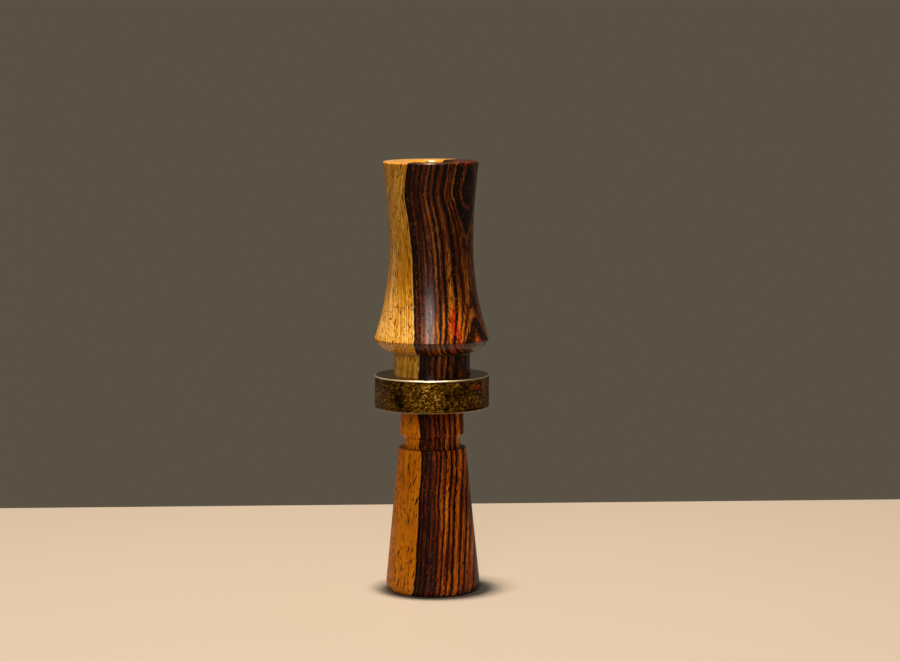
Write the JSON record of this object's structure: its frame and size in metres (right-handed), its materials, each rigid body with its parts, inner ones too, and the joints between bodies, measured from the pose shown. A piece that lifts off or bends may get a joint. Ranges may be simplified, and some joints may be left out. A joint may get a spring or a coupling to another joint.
{
  "type": "duck call",
  "caption": "Turned hardwood duck call: a waisted barrel with a brass band slides over a reeded toneboard glued into a flared insert, on which it stands.",
  "frame": {"origin": "middle of the flat exhaust end that the call stands on", "axes": "+Z along the call's axis, from the exhaust end up to the mouth; -Y is the side that the reeds face"},
  "size_m": [0.0381, 0.038, 0.144],
  "materials": {
    "hardwood": "striped tropical hardwood with pale sapwood on one side, polished to a satin gloss",
    "band_brass": "antiqued brass, dark and mottled on the side, polished on the rims and top face",
    "toneboard_acetal": "machined black acetal",
    "seal_rubber": "moulded nitrile rubber",
    "reed_film": "clear polyester film",
    "wedge_cork": "cut cork"
  },
  "bodies": {
    "insert": {"insert": "hardwood", "toneboard": "toneboard_acetal", "wedge": "wedge_cork"},
    "seals": {"lower_o_ring": "seal_rubber", "upper_o_ring": "seal_rubber"},
    "barrel": {"barrel": "hardwood", "band": "band_brass"},
    "reeds": {"lower_reed": "reed_film", "upper_reed": "reed_film"}
  },
  "joints": [
    {"name": "barrel_turn", "type": "hinge", "parent": "insert", "child": "seals", "pos_m": [0, 0, 0.0681], "axis": [0, 0, 1], "continuous": true},
    {"name": "barrel_pull", "type": "slide", "parent": "seals", "child": "barrel", "axis": [0, 0, 1], "range_m": [0, 0.065]},
    {"name": "reed_bend", "type": "hinge", "parent": "insert", "child": "reeds", "pos_m": [0, -0.00025, 0.0885], "axis": [1, 0, 0], "range_deg": [-2.8, 3], "stiffness_Nm_per_rad": 0.012, "deforming": ["lower_reed", "upper_reed"]}
  ]
}
